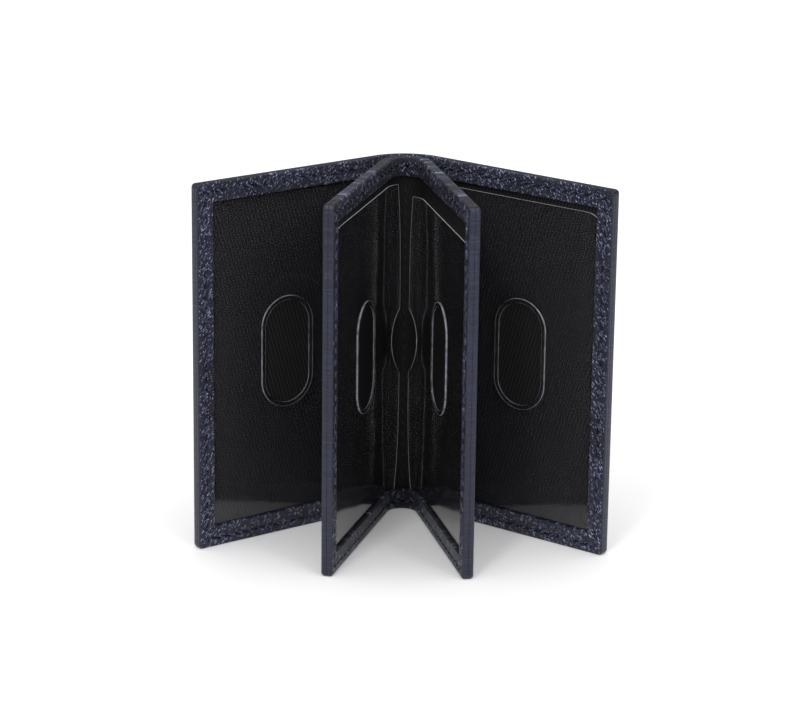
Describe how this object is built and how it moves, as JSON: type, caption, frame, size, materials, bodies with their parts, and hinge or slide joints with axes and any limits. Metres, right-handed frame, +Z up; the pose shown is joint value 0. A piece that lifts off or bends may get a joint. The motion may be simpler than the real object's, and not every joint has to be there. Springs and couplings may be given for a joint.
{
  "type": "standing card holder",
  "caption": "Folding leather holder that stands like an open fan: two covers and two leaves with clear windows, thumb holes and sewn frames round a soft spine.",
  "frame": {"origin": "middle of the footprint of the spread holder, on the surface that it stands on", "axes": "+Z up along the spine, -Y the open side of the fan, +X from the left cover to the right cover"},
  "size_m": [0.1162, 0.0617, 0.105],
  "materials": {
    "navy_leather": "dark navy full-grain cowhide with a fine pebbled grain and a low sheen",
    "black_lining": "black twill-woven polyester lining",
    "fold_lining": "very dark brown-black lining cloth inside the fold",
    "stiffener_board": "grey bonded leather fibre board",
    "clear_film": "clear glossy PVC film",
    "navy_thread": "dark navy bonded polyester sewing thread"
  },
  "bodies": {
    "spine": {"spine_leather": "navy_leather", "spine_lining": "black_lining", "spine_top_strip": "navy_leather", "spine_bottom_strip": "navy_leather", "fold_front_top_strip": "navy_leather", "fold_front_bottom_strip": "navy_leather", "fold_back_top_strip": "navy_leather", "fold_back_bottom_strip": "navy_leather", "fold_front_lining": "fold_lining", "fold_back_lining": "fold_lining", "insert_seam_thread": "navy_thread"},
    "left_cover": {"left_cover_leather": "navy_leather", "left_cover_board": "stiffener_board", "left_cover_lining": "black_lining", "left_cover_window": "clear_film", "left_cover_frame": "navy_leather", "left_cover_inner_thread": "navy_thread", "left_cover_outer_thread": "navy_thread"},
    "right_cover": {"right_cover_leather": "navy_leather", "right_cover_board": "stiffener_board", "right_cover_lining": "black_lining", "right_cover_window": "clear_film", "right_cover_frame": "navy_leather", "right_cover_inner_thread": "navy_thread", "right_cover_outer_thread": "navy_thread"},
    "left_leaf": {"left_leaf_front_frame": "navy_leather", "left_leaf_front_window": "clear_film", "left_leaf_front_lining": "black_lining", "left_leaf_front_thread": "navy_thread", "left_leaf_back_frame": "navy_leather", "left_leaf_back_window": "clear_film", "left_leaf_back_lining": "black_lining", "left_leaf_back_thread": "navy_thread"},
    "right_leaf": {"right_leaf_front_frame": "navy_leather", "right_leaf_front_window": "clear_film", "right_leaf_front_lining": "black_lining", "right_leaf_front_thread": "navy_thread", "right_leaf_back_frame": "navy_leather", "right_leaf_back_window": "clear_film", "right_leaf_back_lining": "black_lining", "right_leaf_back_thread": "navy_thread"}
  },
  "joints": [
    {"name": "left_cover_hinge", "type": "hinge", "parent": "spine", "child": "left_cover", "pos_m": [-0.0086, 0.0276, 0], "axis": [0, 0, 1], "range_deg": [-36.2, 55.6]},
    {"name": "right_cover_hinge", "type": "hinge", "parent": "spine", "child": "right_cover", "pos_m": [0.0086, 0.0276, 0], "axis": [0, 0, -1], "range_deg": [-36.2, 55.6]},
    {"name": "left_leaf_hinge", "type": "hinge", "parent": "spine", "child": "left_leaf", "pos_m": [0, 0.03041, 0], "axis": [0, 0, 1], "range_deg": [-11, 16.8]},
    {"name": "right_leaf_hinge", "type": "hinge", "parent": "spine", "child": "right_leaf", "pos_m": [0, 0.03041, 0], "axis": [0, 0, -1], "range_deg": [-10.2, 15.5]}
  ],
  "couplings": [
    {"joint": "left_leaf_hinge", "follows": "left_cover_hinge", "ratio": 0.3},
    {"joint": "right_leaf_hinge", "follows": "right_cover_hinge", "ratio": 0.277}
  ]
}
